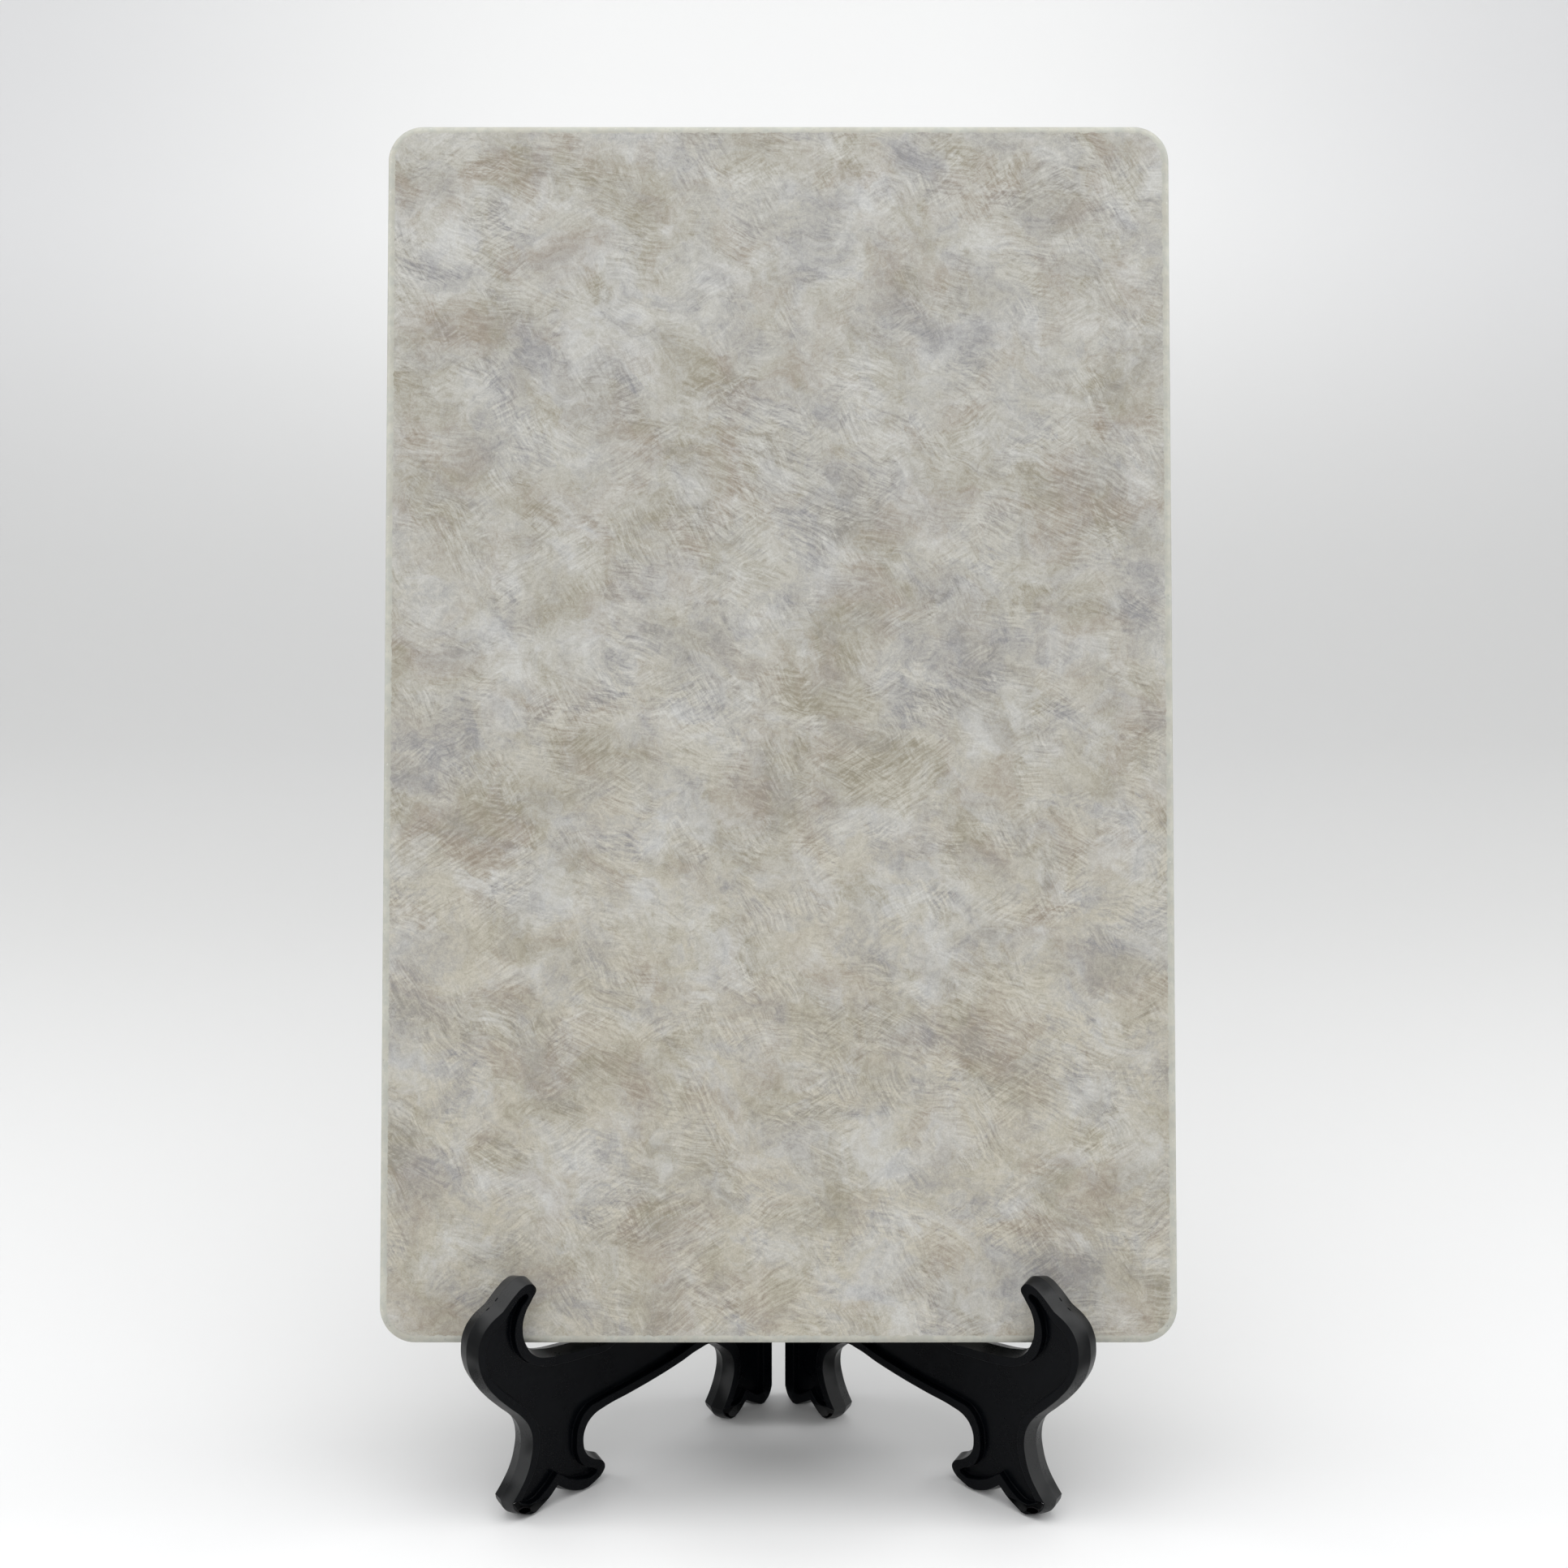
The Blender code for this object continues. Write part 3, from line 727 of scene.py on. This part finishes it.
    # Light ground, and darker fibres that crowd together in the brown and grey areas.
    ground = n.mix(n.ramp(parts[2], 60.0, 240.0), tone("cream"), tone("light_grey"))
    ground = n.mix(n.math("MULTIPLY", pale, 0.9), ground, tone("pale"))
    warm = n.mix(n.ramp(n.noise(slow, 0.06, 3.0), 0.42, 0.64), tone("tan"), tone("brown"))
    greyer = n.math("DIVIDE", cool, n.math("MAXIMUM", n.math("ADD", brown, cool), 0.05))
    dark = n.mix(greyer, warm, tone("grey"))
    middling = n.math("SUBTRACT", n.noise(curl, 0.15, 6.0, 0.72), 0.5)
    crowd = n.math("MULTIPLY_ADD", n.math("MAXIMUM", brown, cool), 0.9,
                   n.math("MULTIPLY", fibres, 2.0))
    crowd = n.math("MULTIPLY_ADD", middling, 0.85, crowd)
    crowd = n.math("MULTIPLY_ADD", hair, 0.25, crowd)
    colour = n.mix(n.ramp(crowd, -0.2, 1.16, smooth=False), ground, dark)
    shade = n.math("MULTIPLY_ADD", fibres, -0.2, 1.0)
    shade = n.math("MULTIPLY_ADD", n.math("SUBTRACT", grain, 0.5), 0.3, shade)
    pattern = n.mix(1.0, colour, n.add("CombineColor", {0: shade, 1: shade, 2: shade}).outputs[0],
                    "MULTIPLY")

    # The body of the stone, which shows on the rim, sides and back.
    speck = n.noise(place, 1.3, 4.0, 0.7, flat=False)
    fleck = n.noise(place, 0.35, 3.0, 0.6, flat=False)
    cloud = n.noise(place, 0.05, 6.0, 0.7, flat=False)
    body = n.mix(n.ramp(fleck, 0.35, 0.65), tone("body"), tone("body_dull"))
    body = n.mix(n.ramp(cloud, 0.4, 0.68, 0.0, 0.5), body, tone("body_warm"))
    body = n.mix(n.ramp(cloud, 0.42, 0.25, 0.0, 0.6), body, tone("body_pale"))
    body = n.mix(n.ramp(speck, 0.6, 0.72), body, tone("speck_dark"))
    body = n.mix(n.ramp(speck, 0.38, 0.28), body, tone("speck_light"))
    n.put(n.shader.inputs["Base Color"], n.mix(printed, body, pattern))

    rough = n.math("MULTIPLY_ADD", fibre, 0.16, 0.42)
    n.put(n.shader.inputs["Roughness"], n.mix(printed, (0.5, 0.5, 0.5, 1.0), rough))
    height = n.math("MULTIPLY", fibres, -1.5)
    height = n.math("MULTIPLY", n.math("MULTIPLY_ADD", grain, 0.6, height), printed)
    height = n.math("MULTIPLY_ADD", speck, 0.5, height)
    bump = n.add("Bump", {"Strength": 0.25, "Distance": 0.00006, "Height": height})
    n.put(n.shader.inputs["Normal"], bump.outputs["Normal"])
    n.shader.inputs["Specular IOR Level"].default_value = 0.35
    return n.material


def plastic_material():
    n = Nodes("black_plastic")
    place = n.vector("SCALE", n.object_place, scale=1000.0)
    texture = n.noise(place, 2.6, 3.0, 0.6, flat=False)
    cloudy = n.noise(place, 0.12, 4.0, 0.6, flat=False)
    dust = n.noise(place, 0.9, 6.0, 0.8, flat=False)
    colour = n.mix(n.ramp(cloudy, 0.35, 0.65), (0.0009, 0.0013, 0.0021, 1),
                   (0.0015, 0.002, 0.003, 1))
    # Painted reflection: the outer walls along the outline get a lighter colour with cloudy lighter
    # and darker patches, in place of the floor and lamps they reflect.
    wall = n.add("Attribute", attribute_name="outer_wall").outputs["Fac"]
    painted_wall_sheen = n.mix(n.ramp(n.noise(place, 0.07, 2.0, flat=False), 0.4, 0.6), (0.008, 0.0085, 0.009, 1),
                 (0.04, 0.0405, 0.041, 1))
    colour = n.mix(wall, colour, painted_wall_sheen)
    colour = n.mix(n.ramp(dust, 0.66, 0.8, 0.0, 0.3), colour, (0.012, 0.012, 0.013, 1))
    n.put(n.shader.inputs["Base Color"], colour)
    rough = n.math("MULTIPLY_ADD", cloudy, 0.14, n.math("MULTIPLY_ADD", texture, 0.1, 0.17))
    n.put(n.shader.inputs["Roughness"], rough)
    bump = n.add("Bump", {"Strength": 0.3, "Distance": 0.00002, "Height": texture})
    n.put(n.shader.inputs["Normal"], bump.outputs["Normal"])
    n.shader.inputs["Specular IOR Level"].default_value = 0.07
    return n.material


def steel_material():
    n = Nodes("brushed_steel")
    place = n.vector("SCALE", n.object_place, scale=1000.0)
    drawn = n.add("Mapping", {"Vector": place, "Scale": (6.0, 6.0, 0.12)}).outputs["Vector"]
    lines = n.noise(drawn, 1.0, 4.0, 0.6, flat=False)
    n.put(n.shader.inputs["Base Color"],
          n.mix(lines, (0.42, 0.42, 0.43, 1.0), (0.62, 0.62, 0.63, 1.0)))
    n.shader.inputs["Metallic"].default_value = 1.0
    n.put(n.shader.inputs["Roughness"], n.math("MULTIPLY_ADD", lines, 0.25, 0.2))
    bump = n.add("Bump", {"Strength": 0.2, "Distance": 0.00002, "Height": lines})
    n.put(n.shader.inputs["Normal"], bump.outputs["Normal"])
    return n.material


def dress(obj, material, body, node):
    obj.data.materials.clear()
    obj.data.materials.append(material)
    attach(obj, body)
    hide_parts(node)


# ------------------------------------------------------------------------------------- the object

plastic, stone, steel = plastic_material(), stone_material(), steel_material()
left = make_arm("easel_arm_left", -1, LEFT_KNUCKLES, RIGHT_KNUCKLES)
right = make_arm("easel_arm_right", 1, RIGHT_KNUCKLES, LEFT_KNUCKLES)
pin = rod("easel_pin", PIN_RADIUS, PIN_BOTTOM, PIN_TOP - PIN_BOTTOM, ease=0.3, sides=40)
PIECES.objects.link(pin)
pin.data.transform(Matrix.Diagonal((MM, MM, MM, 1.0)))
pin.location = AXIS
finish_shading(pin, SHARP_PIN)
slab = make_slab("stone_slab")
dress(left, plastic, "left_arm", "left_arm")
dress(right, plastic, "right_arm", "right_arm")
dress(pin, steel, "hinge", "hinge_pin")
dress(slab, stone, "slab", "slab")


# -------------------------------------------------------------------- floor, backdrop, light, view

def make_floor():
    """A pale sweep: a flat floor that curves up into a backdrop."""
    shape = bmesh.new()
    half, front, back, radius, height = 3.0, -2.2, 0.75, 0.7, 3.0
    line = [(front, 0.0), (back, 0.0)]
    for step in range(1, 13):
        angle = math.pi / 2 * step / 12
        line.append((back + radius * math.sin(angle), radius * (1 - math.cos(angle))))
    line.append((back + radius, height))
    rows = [[shape.verts.new((x, y, z)) for x in (-half, half)] for y, z in line]
    for first, second in zip(rows, rows[1:]):
        face = shape.faces.new((first[0], first[1], second[1], second[0]))
        face.smooth = True
    mesh = bpy.data.meshes.new("floor")
    shape.to_mesh(mesh)
    shape.free()
    floor = bpy.data.objects.new("floor", mesh)
    bpy.context.scene.collection.objects.link(floor)
    n = Nodes("pale_floor")
    place = n.add("SeparateXYZ", {0: n.object_place}).outputs
    # Painted light and shade: the floor is darker towards the front and the back, the backdrop paler
    # than the floor in its middle and darker towards its sides, in place of how the studio light
    # falls off.
    side = n.ramp(n.math("ABSOLUTE", place[0]), 0.1, 0.6)
    floor_tone = n.mix(n.ramp(place[1], -0.1, 0.5), (0.76, 0.76, 0.76, 1.0), (0.6, 0.6, 0.595, 1.0))
    floor_tone = n.mix(n.ramp(place[1], -0.12, -0.3), floor_tone, (0.67, 0.67, 0.67, 1.0))
    wall_tone = n.mix(side, (0.91, 0.91, 0.905, 1.0), (0.76, 0.76, 0.765, 1.0))
    n.put(n.shader.inputs["Base Color"], n.mix(n.ramp(place[2], 0.0, 0.28), floor_tone, wall_tone))
    n.shader.inputs["Roughness"].default_value = 0.6
    n.shader.inputs["Specular IOR Level"].default_value = 0.2
    mesh.materials.append(n.material)
    return floor


def area_light(name, place, size, power):
    """A soft light that faces the middle of the object."""
    light = bpy.data.lights.new(name, "AREA")
    light.shape = "RECTANGLE"
    light.size, light.size_y = size
    light.energy = power
    holder = bpy.data.objects.new(name, light)
    holder.location = place
    holder.rotation_euler = (MIDDLE - Vector(place)).to_track_quat("-Z", "Y").to_euler()
    bpy.context.scene.collection.objects.link(holder)


make_floor()
for light in LIGHTS:
    area_light(*light)

world = bpy.data.worlds.new("studio")
world.use_nodes = True
background = world.node_tree.nodes["Background"]
background.inputs["Color"].default_value = WORLD_COLOUR
background.inputs["Strength"].default_value = WORLD_STRENGTH
bpy.context.scene.world = world
bpy.context.scene.view_settings.view_transform = "Standard"

camera = bpy.data.objects.new("camera", bpy.data.cameras.new("camera"))
bpy.context.scene.collection.objects.link(camera)
camera.data.lens = CAMERA_LENS
camera.data.sensor_width = CAMERA_SENSOR
camera.data.shift_x = CAMERA_SHIFT
camera.data.clip_start = 0.01
camera.location = CAMERA_PLACE
camera.rotation_euler = (CAMERA_PITCH, 0.0, 0.0)
bpy.context.scene.camera = camera
